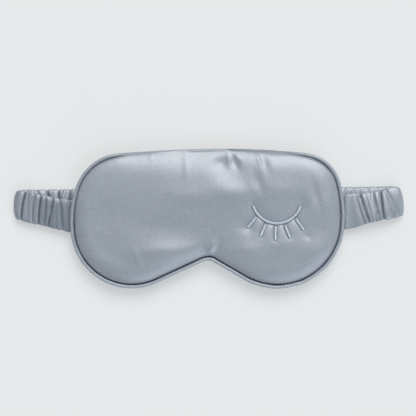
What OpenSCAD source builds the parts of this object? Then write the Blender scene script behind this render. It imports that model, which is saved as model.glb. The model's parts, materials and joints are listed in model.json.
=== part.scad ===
// Padded satin sleep mask with a piped edge, a nose notch, an embroidered closed eye
// and a gathered elastic head strap. It lies face up on its flattened strap.
// +X is the wearer's left side, +Y the forehead side, +Z the front. Z = 0 is the strap's underside.

/* [Mask outline] */
// Width of the mask across its piping
mask_w = 212; // [204:1:224]
// Height of the mask from its top edge to the foot of its lobes
mask_h = 106; // [102:1:114]
// Radius of the long top edge
top_r = 700; // [500:10:1000]
// Radius of the upper corners
corner_r = 34; // [32:0.5:38]
// Radius of the sides
side_r = 85; // [70:1:110]
// Radius of the lower lobes
lobe_r = 47; // [42:0.5:49]
// How far the lobes stand in from the widest point
lobe_step = 1.5; // [0.5:0.1:4]
// Radius at the top of the nose notch
notch_r = 10; // [7:0.5:14]
// Height of the nose notch over the foot of the lobes
notch_depth = 21; // [17:0.5:24]

/* [Padding] */
// Thickness of the satin panels
panel_t = 0.6; // [0.4:0.1:1]
// Height of the front panel's crown over its rim
front_rise = 6.5; // [4:0.5:10]
// Depth of the back panel's crown under its rim
back_rise = 5; // [4:0.5:8]
// Width of the rim over which the crowns rise
crown_run = 28; // [20:1:29]
// Thickness of the embroidery's backing cloth
backing_t = 0.3; // [0.2:0.1:0.6]

/* [Piping] */
// Outer radius of the piping
pipe_r = 1.4; // [1.1:0.1:1.8]
// Radius of the cord inside the piping
cord_r = 0.9; // [0.5:0.1:1.2]
// Width of the piping's seam allowance
flange_w = 7; // [5:0.5:8]
// Thickness of the seam allowance
flange_t = 0.8; // [0.5:0.1:1.2]

/* [Strap] */
// Width of the flattened strap loop across its two folds
strap_span = 298; // [284:1:330]
// Width of the gathered sleeve
strap_w = 25; // [23:0.5:30]
// Thickness of the sleeve between two gathers
sleeve_t = 2.6; // [2.2:0.1:3.2]
// Height of a gather over the plain sleeve
gather_h = 1.8; // [0.8:0.1:2.4]
// Distance from gather to gather
gather_pitch = 8; // [6:0.5:11]
// How far the sleeve's edges draw in between two gathers
scallop = 1; // [0.2:0.1:1.4]
// Width of the elastic
elastic_w = 18; // [12:0.5:19]
// Thickness of the elastic
elastic_t = 1.2; // [0.8:0.1:1.4]
// Length of the strap's end that is sewn in behind the piping
tab_len = 8.5; // [6:0.5:9]
// Distance of the strap's seam outside the piping
seam_out = 1.2; // [0.8:0.1:2]
// Place of the strap's seam over the middle of the mask
seam_y = 5; // [0:0.5:10]
// Place of the strap's back run over the middle of the mask
back_y = 12.5; // [8:0.5:16]
// Half length of the strap that stays flat when the loop opens
bend_x = 40; // [30:1:50]

/* [Embroidery] */
// Distance of the eyelid line's centre from the side of the mask
eye_in = 54; // [50:0.5:58]
// Distance of the eyelid line's centre under the top of the mask
eye_drop = 36; // [34:0.5:40]
// Radius of the eyelid line
eyelid_r = 19.5; // [15:0.5:21]
// Angle that the eyelid line spans
eyelid_span = 140; // [110:1:150]
// Turn of the eye from upright
eye_turn = -1.5; // [-6:0.5:6]
// Half width of a stitched line
thread_r = 0.85; // [0.6:0.05:1.1]
// Number of lashes
lashes = 5; // [5:1:5]
// Angle from lash to lash
lash_step = 20.5; // [16:0.5:24]
// Gap between the eyelid line and a lash
lash_gap = 0.8; // [0.4:0.1:2]
// Length of a lash
lash_len = 11; // [7:0.5:12]

/* [Clearances] */
// Gap between two sewn layers
lay = 0.05; // [0.02:0.01:0.1]
// Room round the elastic inside its sleeve
ease = 0.2; // [0.1:0.05:0.3]
// Gap between two pieces that move apart
gap = 0.3; // [0.2:0.05:0.5]
// Distance of a sleeve's end from the line it bends on
sleeve_end = 1; // [0.9:0.1:1.4]
// Distance of an elastic's end from the line it bends on
elastic_end = 0.42; // [0.4:0.02:0.48]

/* [Hidden] */

$fn = 48;
satin = "#9aa3ad";
satin_shade = "#858f9a";
stitch_grey = "#6d7680";
white_goods = "#e6e6e2";
liner_black = "#2b2c30";

// Levels, from the table up: strap, mask back, seam, mask front
strap_z = sleeve_t / 2;
strap_top = sleeve_t + gather_h;
seam_z = strap_top + gap + back_rise + lay + flange_t / 2;
front_base = seam_z + flange_t / 2 + lay;
back_base = seam_z - flange_t / 2 - lay;
tab_z = seam_z - pipe_r - lay - elastic_t / 2;
run_z = strap_top + gap + sleeve_t / 2;
fold_z = (strap_z + run_z) / 2;
fold_x = strap_span / 2 - fold_z;
seam_x = mask_w / 2 + seam_out;
front_top = front_base + front_rise;
eye_x = mask_w / 2 - eye_in;
eye_y = mask_h / 2 - eye_drop;
backing_r = eyelid_r - 1.5;
rim_inset = 2 * pipe_r + lay;
bore_steps = 8;
liner_inset = pipe_r + flange_w + lay;

// The outline's right half is a chain of arcs that run into each other. A notch bends the other way.
function bearing(a, b) = atan2(b.y - a.y, b.x - a.x);

// The point at one distance from a and another from b, to the right of the way from a to b
function meeting(a, from_a, b, from_b) =
    let (apart = norm(b - a))
    let (u = (b - a) / apart)
    let (along = (from_a ^ 2 - from_b ^ 2 + apart ^ 2) / (2 * apart))
    a + u * along + [u.y, -u.x] * sqrt(from_a ^ 2 - along ^ 2);

top_c = [0, mask_h / 2 - top_r];
lobe_c = [mask_w / 2 - lobe_step - lobe_r, lobe_r - mask_h / 2];
side_dx = mask_w / 2 - side_r - lobe_c.x;
side_c = [mask_w / 2 - side_r, lobe_c.y + sqrt((side_r - lobe_r) ^ 2 - side_dx ^ 2)];
corner_c = meeting(top_c, top_r - corner_r, side_c, side_r - corner_r);
notch_c = [0, notch_depth - mask_h / 2 - notch_r];
top_end = bearing(top_c, corner_c);
corner_end = bearing(side_c, corner_c);
side_end = bearing(side_c, lobe_c);
lobe_end = bearing(lobe_c, notch_c) + acos((lobe_r + notch_r) / norm(notch_c - lobe_c));

// Each arc: centre, radius, start angle, end angle, 1 where it bulges out and -1 where it cuts in, steps
OUTLINE = [
    [top_c, top_r, 90, top_end, 1, 4],
    [corner_c, corner_r, top_end, corner_end, 1, 8],
    [side_c, side_r, corner_end, side_end, 1, 4],
    [lobe_c, lobe_r, side_end, lobe_end, 1, 13],
    [notch_c, notch_r, lobe_end + 180, 90, -1, 3]
];

function polar(r, a) = r * [cos(a), sin(a)];

// Points along the right half's outline, moved in by inset, from the top middle to the notch
function half_outline(inset) = [
    for (arc = OUTLINE)
        let (starts = arc[0] == top_c || arc[0] == notch_c)
        for (k = [starts ? 0 : 1 : arc[5]])
            let (p = arc[0] + polar(arc[1] - arc[4] * inset, arc[2] + (arc[3] - arc[2]) * k / arc[5]))
            [max(p.x, gap / 2), p.y]
];

// A quarter ellipse of insets and heights, from the crown down to the rim
function crown(inset, run, rise, steps) = [
    for (k = [steps:-1:0])
        let (a = 90 * k / steps)
        [inset + run * (1 - cos(a)), rise * sin(a)]
];

function reversed(list) = [for (k = [len(list) - 1:-1:0]) list[k]];

// Two triangles for each step along the half outline, between the rings of two stations
function ring_walls(near, far, n) = [
    for (j = [0:n - 2])
        let (a = near * n + j)
        let (b = far * n + j)
        for (f = [[b, b + 1, a + 1], [b, a + 1, a]]) f
];

// A solid from a list of insets and heights, each of which carries the half outline as a ring.
// It is closed by the first and the last ring, and by one face along the fold line.
module half_loft(stations) {
    n = len(half_outline(0));
    last = len(stations) - 1;
    points = [for (s = stations) for (p = half_outline(s[0])) [p.x, p.y, s[1]]];
    walls = [for (i = [0:last - 1]) for (f = ring_walls(i, i + 1, n)) f];
    top_face = [for (j = [0:n - 1]) j];
    low_face = [for (j = [n - 1:-1:0]) last * n + j];
    fold_face = concat(
        [0],
        [for (i = [0:last]) i * n + n - 1],
        [for (i = [last:-1:1]) i * n]
    );
    polyhedron(points, concat(walls, [top_face, low_face, fold_face]), convexity = 6);
}

// A closed section of insets and heights, carried along the half outline
module along_outline(section) {
    n = len(half_outline(0));
    m = len(section);
    points = [for (s = section) for (p = half_outline(s[0])) [p.x, p.y, s[1]]];
    walls = [for (i = [0:m - 1]) for (f = ring_walls(i, (i + 1) % m, n)) f];
    top_end = [for (i = [m - 1:-1:0]) i * n];
    notch_end = [for (i = [0:m - 1]) i * n + n - 1];
    polyhedron(points, concat(walls, [top_end, notch_end]), convexity = 6);
}

// Mirrors a right-hand piece to the side that is wanted, 1 for right and -1 for left
module on_side(side) {
    mirror([side < 0 ? 1 : 0, 0, 0]) children();
}

// Half of the front panel: a crowned satin shell, open below
module front_panel(side) {
    skin = crown(rim_inset, crown_run, front_rise, 5);
    lining = reversed(crown(rim_inset + panel_t, crown_run - panel_t, front_rise - panel_t, 4));
    color(satin)
        on_side(side)
            translate([0, 0, front_base])
                half_loft(concat(skin, lining));
}

// Half of the back panel: a shallower shell turned down, with a slot for the strap's end
module back_panel(side) {
    skin = crown(rim_inset, crown_run, back_rise, 4);
    lining = reversed(crown(rim_inset + panel_t, crown_run - panel_t, back_rise - panel_t, 4));
    color(satin_shade)
        on_side(side)
            difference() {
                translate([0, 0, back_base])
                    mirror([0, 0, 1])
                        half_loft(concat(skin, lining));
                strap_end_block(lay);
            }
}

// Half of the soft filling under the front panel
module wadding_front(side) {
    inset = rim_inset + panel_t + lay;
    run = crown_run - panel_t - lay;
    color(white_goods)
        on_side(side)
            translate([0, 0, front_base])
                half_loft(crown(inset, run, front_rise - panel_t - backing_t - 2 * lay, 4));
}

// Half of the filling over the back panel, which stops short of the strap's end
module wadding_back(side) {
    inset = rim_inset + panel_t + lay;
    run = crown_run - panel_t - lay;
    edge = tab_len + gap;
    whole = crown(inset, run, back_rise - panel_t - lay, 4);
    rings = [for (s = whole) if (s[0] > edge) s];
    color(white_goods)
        on_side(side)
            translate([0, 0, back_base])
                mirror([0, 0, 1])
                    half_loft(concat(rings, [[edge, lookup(edge, whole)], [edge, 0]]));
}

// Half of the light-tight interlining, inside the seam allowance
module blackout_liner(side) {
    color(liner_black)
        on_side(side)
            translate([0, 0, seam_z - flange_t / 2])
                linear_extrude(flange_t)
                    polygon(half_outline(liner_inset));
}

// Points on a circle round the middle of the piping, as insets and heights
function piping_arc(r, from, to, steps) = [
    for (k = [0:steps])
        let (a = from + (to - from) * k / steps)
        [pipe_r + r * cos(a), seam_z + r * sin(a)]
];

// A whole round section about the middle of the piping
function piping_round(r) = piping_arc(r, 0, 360 - 360 / bore_steps, bore_steps - 1);

// Half of the piping's satin cover with its seam allowance, hollow for the cord
module piping_cover(side) {
    meets = asin(flange_t / 2 / pipe_r);
    edge = pipe_r + flange_w;
    section = concat(
        [[edge, seam_z + flange_t / 2]],
        piping_arc(pipe_r, meets, 360 - meets, 8),
        [[edge, seam_z - flange_t / 2]]
    );
    color(satin)
        on_side(side)
            difference() {
                along_outline(section);
                along_outline(piping_round((cord_r + lay) / cos(180 / bore_steps)));
            }
}

// Half of the cord inside the piping
module piping_cord(side) {
    color(white_goods)
        on_side(side)
            along_outline(piping_round(cord_r));
}

// The block that the strap's sewn-in end takes up, with room round it
module strap_end_block(room) {
    from = mask_w / 2 - tab_len;
    to = seam_x - elastic_end;
    translate([from - room, seam_y - elastic_w / 2 - room, tab_z - elastic_t / 2 - room])
        cube([to - from + 2 * room, elastic_w + 2 * room, elastic_t + 2 * room]);
}

// The elastic's end, sewn in under the piping
module strap_end(side) {
    color(white_goods)
        on_side(side)
            strap_end_block(0);
}

// Twelve points round a flattened sleeve of one width, from its depth to its height
section_angles = [for (k = [0:11]) 15 + 30 * k];
function sleeve_section(width, depth, height) = [
    for (a = section_angles)
        let (y = sign(cos(a)) * abs(cos(a) / cos(15)) ^ 0.4)
        let (z = sign(sin(a)) * abs(sin(a) / cos(15)) ^ 0.6)
        [width / 2 * y, (z < 0 ? depth : height) * z]
];

// Twelve points round the sleeve's rectangular bore
function bore_section() = [
    for (a = section_angles)
        let (y = max(-1, min(1, 2 * cos(a))))
        let (z = max(-1, min(1, 2 * sin(a))))
        [(elastic_w / 2 + ease) * y, (elastic_t / 2 + ease) * z]
];

// Two triangles for each side of each step between rings of n points that start at point first
function tube_walls(first, rings, n) = [
    for (i = [0:rings - 2])
        for (j = [0:n - 1])
            let (a = first + i * n + j)
            let (b = first + i * n + (j + 1) % n)
            for (f = [[a, a + n, b + n], [a, b + n, b]]) f
];

// A gathered sleeve from x0 to x1, whose centre runs straight from c0 to c1 in Y and Z
module gathered_sleeve(x0, x1, c0, c1) {
    n = len(section_angles);
    gathers = max(2, round((x1 - x0) / gather_pitch));
    rings = 4 * gathers + 1;
    skin = [
        for (i = [0:rings - 1])
            let (t = i / (rings - 1))
            let (swell = abs(sin(45 * i)))
            let (c = c0 + (c1 - c0) * t)
            let (width = strap_w - 2 * scallop * (1 - swell))
            for (p = sleeve_section(width, sleeve_t / 2, sleeve_t / 2 + gather_h * swell))
                [x0 + (x1 - x0) * t, c.x + p.x, c.y + p.y]
    ];
    bore = [
        for (end = [[x0, c0], [x1, c1]])
            for (p = bore_section())
                [end[0], end[1].x + p.x, end[1].y + p.y]
    ];
    inner = rings * n;
    bore_walls = [for (f = tube_walls(inner, 2, n)) [f[0], f[2], f[1]]];
    ends = [
        for (j = [0:n - 1])
            let (k = (j + 1) % n)
            let (far = (rings - 1) * n)
            for (f = [
                [j, k, inner + k],
                [j, inner + k, inner + j],
                [far + j, inner + n + j, inner + n + k],
                [far + j, inner + n + k, far + k]
            ]) f
    ];
    polyhedron(concat(skin, bore), concat(tube_walls(0, rings, n), bore_walls, ends), convexity = 8);
}

// A flat band from x0 to x1, whose centre runs straight from c0 to c1 in Y and Z
module flat_band(x0, x1, c0, c1) {
    corners = [[-1, -1], [1, -1], [1, 1], [-1, 1]];
    points = [
        for (end = [[x0, c0], [x1, c1]])
            for (q = corners)
                [end[0], end[1].x + q.x * elastic_w / 2, end[1].y + q.y * elastic_t / 2]
    ];
    polyhedron(points, concat(tube_walls(0, 2, 4), [[0, 1, 2, 3], [7, 6, 5, 4]]));
}

back_c = [back_y, strap_z];
run_c = [back_y, run_z];
seam_c = [seam_y, tab_z];

// The place that a run's centre line has at x, between the fold and the seam
function run_at(x) = seam_c + (run_c - seam_c) * (x - seam_x) / (fold_x - seam_x);

// The middle of the strap, that stays flat on the table
module sleeve_mid() {
    half = bend_x - sleeve_end;
    color(satin_shade)
        gathered_sleeve(-half, half, back_c, back_c);
}

module elastic_mid() {
    half = bend_x - elastic_end;
    color(white_goods)
        flat_band(-half, half, back_c, back_c);
}

// The strap behind the mask, from the bend line to the fold
module sleeve_back(side) {
    color(satin_shade)
        on_side(side)
            gathered_sleeve(bend_x + sleeve_end, fold_x, back_c, back_c);
}

module elastic_back(side) {
    color(white_goods)
        on_side(side)
            flat_band(bend_x + elastic_end, fold_x, back_c, back_c);
}

// Turns a section half a turn about the fold's line, from the back run up to the front run
module round_fold() {
    translate([fold_x, back_y, fold_z])
        rotate([90, 0, 0])
            rotate(-90)
                rotate_extrude(angle = 180)
                    translate([fold_z - sleeve_t / 2, 0])
                        children();
}

// The folded-over end of the sleeve
module sleeve_fold(side) {
    width = strap_w - 2 * scallop;
    color(satin)
        on_side(side)
            round_fold()
                difference() {
                    polygon([for (p = sleeve_section(width, sleeve_t / 2, sleeve_t / 2)) [p.y, p.x]]);
                    polygon([for (p = bore_section()) [p.y, p.x]]);
                }
}

module elastic_fold(side) {
    color(white_goods)
        on_side(side)
            round_fold()
                square([elastic_t, elastic_w], center = true);
}

// The strap's front run, from the seam at the mask out to the fold
module sleeve_run(side) {
    from = seam_x + sleeve_end;
    color(satin)
        on_side(side)
            gathered_sleeve(from, fold_x, run_at(from), run_c);
}

module elastic_run(side) {
    from = seam_x + elastic_end;
    color(white_goods)
        on_side(side)
            flat_band(from, fold_x, run_at(from), run_c);
}

// The upper half of a round end of a stitched line
module line_end() {
    difference() {
        sphere(thread_r);
        translate([-2 * thread_r, -2 * thread_r, -2 * thread_r])
            cube([4 * thread_r, 4 * thread_r, 2 * thread_r]);
    }
}

// The upper half of a stitched line's round section
module line_section() {
    difference() {
        circle(thread_r);
        translate([-2 * thread_r, -2 * thread_r])
            square([4 * thread_r, 2 * thread_r]);
    }
}

// Places a piece on the eye's centre on top of the front panel, turned by an angle from straight down
module at_eye(angle) {
    translate([eye_x, eye_y, front_top])
        rotate(eye_turn - 90 + angle)
            children();
}

// The closed eyelid: one bowed line of satin stitch
module eyelid_line() {
    color(stitch_grey)
        at_eye(-eyelid_span / 2) {
            rotate_extrude(angle = eyelid_span)
                translate([eyelid_r, 0])
                    line_section();
            for (a = [0, eyelid_span])
                rotate(a)
                    translate([eyelid_r, 0, 0])
                        line_end();
        }
}

// One lash, pointing away from the eyelid line. Lash 1 is the nearest to the nose.
module lash(number) {
    root = eyelid_r + 2 * thread_r + lash_gap;
    color(stitch_grey)
        at_eye((number - (lashes + 1) / 2) * lash_step)
            translate([root, 0, 0]) {
                rotate([90, 0, 90])
                    linear_extrude(lash_len - 2 * thread_r)
                        line_section();
                line_end();
                translate([lash_len - 2 * thread_r, 0, 0])
                    line_end();
            }
}

// The round backing cloth under the embroidery, between the front panel and its wadding
module embroidery_backing() {
    color(white_goods)
        translate([eye_x, eye_y - eyelid_r, front_top - panel_t - lay - backing_t])
            cylinder(h = backing_t, r = backing_r);
}

sides = [["left", -1], ["right", 1]];
for (s = sides) {
    front_panel(s[1]);
    back_panel(s[1]);
    wadding_front(s[1]);
    wadding_back(s[1]);
    blackout_liner(s[1]);
    piping_cover(s[1]);
    piping_cord(s[1]);
    strap_end(s[1]);
    sleeve_back(s[1]);
    elastic_back(s[1]);
    sleeve_fold(s[1]);
    elastic_fold(s[1]);
    sleeve_run(s[1]);
    elastic_run(s[1]);
}
sleeve_mid();
elastic_mid();
eyelid_line();
embroidery_backing();
for (k = [1:lashes]) {
    lash(k);
}
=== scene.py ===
"""Padded satin sleep mask on its gathered strap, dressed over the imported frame.

Lengths in this file are millimetres in the frame's axes; meshes are written in metres.
+X is the wearer's left side, +Y the forehead side, +Z the front. Pieces named right lie at +X, and
values kept by side have the key 1 for them and -1 for the left.
"""
import json
import math

import bmesh
import bpy
import numpy as np
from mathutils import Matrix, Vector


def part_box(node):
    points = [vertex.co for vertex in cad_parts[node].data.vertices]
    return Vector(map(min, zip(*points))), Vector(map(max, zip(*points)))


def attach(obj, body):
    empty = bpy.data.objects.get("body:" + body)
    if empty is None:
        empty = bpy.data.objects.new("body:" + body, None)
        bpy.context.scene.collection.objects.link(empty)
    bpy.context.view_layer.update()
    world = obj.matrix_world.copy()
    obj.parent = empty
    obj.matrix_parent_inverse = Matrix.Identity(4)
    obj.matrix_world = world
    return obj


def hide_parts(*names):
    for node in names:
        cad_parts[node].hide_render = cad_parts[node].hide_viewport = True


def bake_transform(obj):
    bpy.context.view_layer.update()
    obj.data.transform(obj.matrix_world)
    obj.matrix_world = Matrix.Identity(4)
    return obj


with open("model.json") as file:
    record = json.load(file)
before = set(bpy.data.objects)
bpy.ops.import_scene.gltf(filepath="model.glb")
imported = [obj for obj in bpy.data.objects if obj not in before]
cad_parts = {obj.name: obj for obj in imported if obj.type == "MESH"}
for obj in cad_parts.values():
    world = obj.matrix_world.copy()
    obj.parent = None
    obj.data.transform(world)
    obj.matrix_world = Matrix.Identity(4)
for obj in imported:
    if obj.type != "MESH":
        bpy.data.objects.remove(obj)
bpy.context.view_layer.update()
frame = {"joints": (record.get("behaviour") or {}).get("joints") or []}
scene = bpy.context.scene
MM = 0.001

# Camera, straight above the mask as in the photograph
IMAGE_PIXELS = 416
PIXEL_MM = 0.766
SENSOR_WIDTH = 36.0
CAMERA_HEIGHT = 1210.0
MASK_LEVEL = 10.0
CAMERA_OVER = (-0.5, 7.9)
CAMERA_ROLL = -0.9


def add_object(name, data):
    """A new object in the scene that shows a mesh, a lamp or a camera."""
    made = bpy.data.objects.new(name, data)
    scene.collection.objects.link(made)
    return made


def add_camera():
    """A long lens whose frame spans the photograph's width at the level of the mask."""
    data = bpy.data.cameras.new("photo_camera")
    data.sensor_width = SENSOR_WIDTH
    data.lens = SENSOR_WIDTH * (CAMERA_HEIGHT - MASK_LEVEL) / (IMAGE_PIXELS * PIXEL_MM)
    camera = add_object("photo_camera", data)
    camera.location = (CAMERA_OVER[0] * MM, CAMERA_OVER[1] * MM, CAMERA_HEIGHT * MM)
    camera.rotation_euler = (0.0, 0.0, math.radians(CAMERA_ROLL))
    scene.camera = camera


add_camera()


# Sizes read from the frame, in millimetres
def node_box(name):
    """Lowest and highest corner of a node, in millimetres."""
    low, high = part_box(name)
    return np.array(low) / MM, np.array(high) / MM


pipe_low, pipe_high = node_box("piping_cover_right")
PIPE_R = (pipe_high[2] - pipe_low[2]) / 2
SEAM_Z = (pipe_high[2] + pipe_low[2]) / 2
FRONT_TOP = node_box("front_panel_right")[1][2]
BACK_LOW = node_box("back_panel_right")[0][2]
fold_low, fold_high = node_box("sleeve_fold_right")
FOLD_Z = (fold_low[2] + fold_high[2]) / 2
FOLD_R = (fold_high[2] - fold_low[2]) / 2
FOLD_X = fold_high[0] - FOLD_R
STRAP_Y = (fold_low[1] + fold_high[1]) / 2
ELASTIC_T = 1.2
BAND_T = node_box("elastic_back_right")[0][2] * 2 + ELASTIC_T
STRAP_Z = BAND_T / 2
RUN_Z = 2 * FOLD_Z - STRAP_Z
JOINTS = {j["name"]: j for j in frame["joints"]}


def joint_at(name):
    """Place of a joint's axis, in millimetres."""
    return np.array(JOINTS[name]["pos_m"]) / MM


SEAM_AT = joint_at("seam_left") * np.array([-1, 1, 1])


# Shader expressions
class Value:
    """One output socket. Arithmetic on it adds Math nodes to its finish."""

    def __init__(self, finish, socket):
        self.finish = finish
        self.socket = socket

    def _math(self, operation, a, b=0.0):
        return self.finish.node("ShaderNodeMath", {"operation": operation}, {0: a, 1: b})

    def __add__(self, other):
        return self._math("ADD", self, other)

    __radd__ = __add__

    def __sub__(self, other):
        return self._math("SUBTRACT", self, other)

    def __rsub__(self, other):
        return self._math("SUBTRACT", other, self)

    def __mul__(self, other):
        return self._math("MULTIPLY", self, other)

    __rmul__ = __mul__

    def sine(self):
        return self._math("SINE", self)

    def power(self, exponent):
        return self._math("POWER", self, exponent)


class Finish:
    """A node material whose nodes all come from one method."""

    def __init__(self, name):
        self.material = bpy.data.materials.new(name)
        self.material.use_nodes = True
        self.tree = self.material.node_tree
        self.tree.nodes.clear()

    def node(self, kind, settings=None, inputs=None, output=0):
        """Adds a node, sets it up, gives its sockets their values or links, and returns one output."""
        made = self.tree.nodes.new(kind)
        for key, value in (settings or {}).items():
            setattr(made, key, value)
        for key, value in (inputs or {}).items():
            if isinstance(value, Value):
                self.tree.links.new(value.socket, made.inputs[key])
            else:
                made.inputs[key].default_value = value
        return Value(self, made.outputs[output]) if made.outputs else None

    def place(self, coordinate="Object", scale=(1, 1, 1), turn=(0, 0, 0)):
        """Object or UV coordinates, turned and scaled."""
        at = self.node("ShaderNodeTexCoord", output=coordinate)
        return self.node("ShaderNodeMapping", None, {"Vector": at, "Rotation": turn, "Scale": scale})

    def noise(self, at, scale, detail=2.0, rough=0.5):
        """Fractal noise from 0 to 1."""
        values = {"Vector": at, "Scale": scale, "Detail": detail, "Roughness": rough}
        return self.node("ShaderNodeTexNoise", None, values)

    def tint(self, share, first, second):
        """Colour between two: the first at share 0, the second at 1."""
        sockets = {0: share, 6: first, 7: second}
        return self.node("ShaderNodeMix", {"data_type": "RGBA"}, sockets, 2)

    def bump(self, height, depth, strength, under=None):
        """Normal of a height field that is depth metres high."""
        values = {"Height": height, "Distance": depth, "Strength": strength}
        if under is not None:
            values["Normal"] = under
        return self.node("ShaderNodeBump", None, values)

    def surface(self, values):
        """Principled surface straight to the output."""
        shader = self.node("ShaderNodeBsdfPrincipled", None, values)
        self.node("ShaderNodeOutputMaterial", None, {"Surface": shader})
        return self.material


# Hues of the satin, and of the painted shade that it is darkened to in seams, gathers and shadowed places
SATIN_HUE = (0.855, 0.96, 1.10)
SHADE_HUE = (0.72, 0.96, 1.30)


def dyed(hue, level):
    """An opaque colour: each part of the hue times a linear level."""
    return (*(part * level for part in hue), 1.0)


# Satin: patterns per metre, levels of the dye and of its painted shade, and relief in metres
YARN_SCALE = (5200, 900, 2400)
GRAIN_SCALE = (820, 1250, 1000)
SLUB_SCALE = 260.0
CLOUD_SCALE = 22.0
DYE_DARK = 0.54
DYE_LIGHT = 1.46
SHADE_LEVEL = 0.27
YARN_RISE = 0.00004
SLUB_RISE = 0.00010
SATIN_ROUGH = 0.39
SATIN_COAT = 0.74
COAT_LOST_IN_SHADE = 0.70


def satin(name, level, coordinate="Object", turn=0.0):
    """Satin weave: long fine floats of yarn, a broad soft sheen and slight cloudiness in the dye.

    A piece's attribute read below, 0 to 1, is painted shade: how far its cloth is painted dark in a seam, a
    gather or a shadow. There the coat is mostly taken away too.
    """
    f = Finish(name)
    bias = (0, 0, math.radians(turn))
    yarn = f.noise(f.place(coordinate, YARN_SCALE, bias), 1.0, 1.0)
    grain = f.noise(f.place(coordinate, GRAIN_SCALE, bias), 1.0, 2.0, 0.6)
    slub = f.noise(f.place(coordinate), SLUB_SCALE, 3.0)
    cloud = f.noise(f.place(coordinate), CLOUD_SCALE, 2.0)
    # Painted shade read from the piece: it darkens the colour towards a bluer dark and lowers the coat
    painted_shade = f.node("ShaderNodeAttribute", {"attribute_name": "painted_shade"}, None, 2)
    share = 0.10 * yarn + 0.70 * grain + 0.10 * slub + 0.10 * cloud
    cloth = f.tint(share, dyed(SATIN_HUE, level * DYE_DARK), dyed(SATIN_HUE, level * DYE_LIGHT))
    weave = f.bump(yarn, YARN_RISE, 0.25)
    return f.surface({
        "Base Color": f.tint(painted_shade, cloth, dyed(SHADE_HUE, level * SHADE_LEVEL)),
        "Roughness": SATIN_ROUGH + 0.05 * slub + 0.04 * yarn,
        "Metallic": 0.18,
        "Normal": f.bump(slub, SLUB_RISE, 0.20, weave),
        "Specular IOR Level": 0.6,
        "Coat Weight": SATIN_COAT - COAT_LOST_IN_SHADE * painted_shade,
        "Coat Roughness": 0.34,
        "Sheen Weight": 0.12,
        "Sheen Roughness": 0.4,
        "Sheen Tint": (0.80, 0.86, 0.95, 1.0),
    })


# Embroidery floss: width of a line, strands in radians per metre, levels of the dye and of the painted shade
# at its edges, relief in metres
STITCH_WIDE = 2.6
STRAND_RATE = 14000.0
STRAND_SLANT = 0.18
FUZZ_SCALE = 1800.0
FLOSS_DARK = 0.84
FLOSS_LIGHT = 1.12
FLOSS_EDGE_SHADE = 0.26
FLOSS_POWER = 2.2
STRAND_RISE = 0.00006


def stitching(name, level):
    """Floss laid across a line: strands are a slanted sine along it, and its two edges are painted dark, a
    painted shade.

    The share of the unshaded middle is a half wave of sine across the line, raised to a power.
    """
    f = Finish(name)
    flat = f.place("UV")
    run = f.node("ShaderNodeSeparateXYZ", None, {0: flat}, "X")
    across = f.node("ShaderNodeSeparateXYZ", None, {0: flat}, "Y")
    strands = 0.5 + 0.5 * ((run + STRAND_SLANT * across) * STRAND_RATE).sine()
    fuzz = f.noise(f.place(), FUZZ_SCALE, 2.0)
    share = 0.6 * strands + 0.4 * fuzz
    yarns = f.tint(share, dyed(SATIN_HUE, level * FLOSS_DARK), dyed(SATIN_HUE, level * FLOSS_LIGHT))
    # Painted shade: the colour falls to the dark edge tone at both sides of the line
    middle = (across * (math.pi / (STITCH_WIDE * MM))).sine().power(FLOSS_POWER)
    return f.surface({
        "Base Color": f.tint(middle, dyed(SATIN_HUE, level * FLOSS_EDGE_SHADE), yarns),
        "Roughness": 0.30 + 0.10 * fuzz,
        "Metallic": 0.30,
        "Normal": f.bump(strands, STRAND_RISE, 0.4),
        "Specular IOR Level": 0.7,
        "Coat Weight": 0.9,
        "Coat Roughness": 0.26,
        "Sheen Weight": 0.15,
        "Sheen Roughness": 0.4,
    })


SATIN_LEVEL = 0.335
STRAP_LEVEL = SATIN_LEVEL * 1.02
BIAS_LEVEL = SATIN_LEVEL * 1.08
FLOSS_LEVEL = SATIN_LEVEL * 1.95
satin_front = satin("satin_front", SATIN_LEVEL, turn=4.0)
satin_strap = satin("satin_strap", STRAP_LEVEL, "UV", turn=90.0)
satin_bias = satin("satin_bias", BIAS_LEVEL, "UV", turn=45.0)
floss = stitching("embroidery_floss", FLOSS_LEVEL)


# Meshes from grids of points
def grid_faces(rows, cols, wrap_rows=False, wrap_cols=False):
    """Corner numbers of the quads of a grid, closed along the directions that wrap."""
    index = np.arange(rows * cols).reshape(rows, cols)
    i = np.arange(rows if wrap_rows else rows - 1)[:, None]
    j = np.arange(cols if wrap_cols else cols - 1)
    i2 = (i + 1) % rows
    j2 = (j + 1) % cols
    corners = [index[i, j], index[i2, j], index[i2, j2], index[i, j2]]
    return np.stack(corners, -1).reshape(-1, 4)


def grid_uv(run, across):
    """Flat places of a grid's points: one length along its rows, the other over its columns."""
    return np.stack([np.repeat(run, len(across)), np.tile(across, len(run))], 1)


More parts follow.
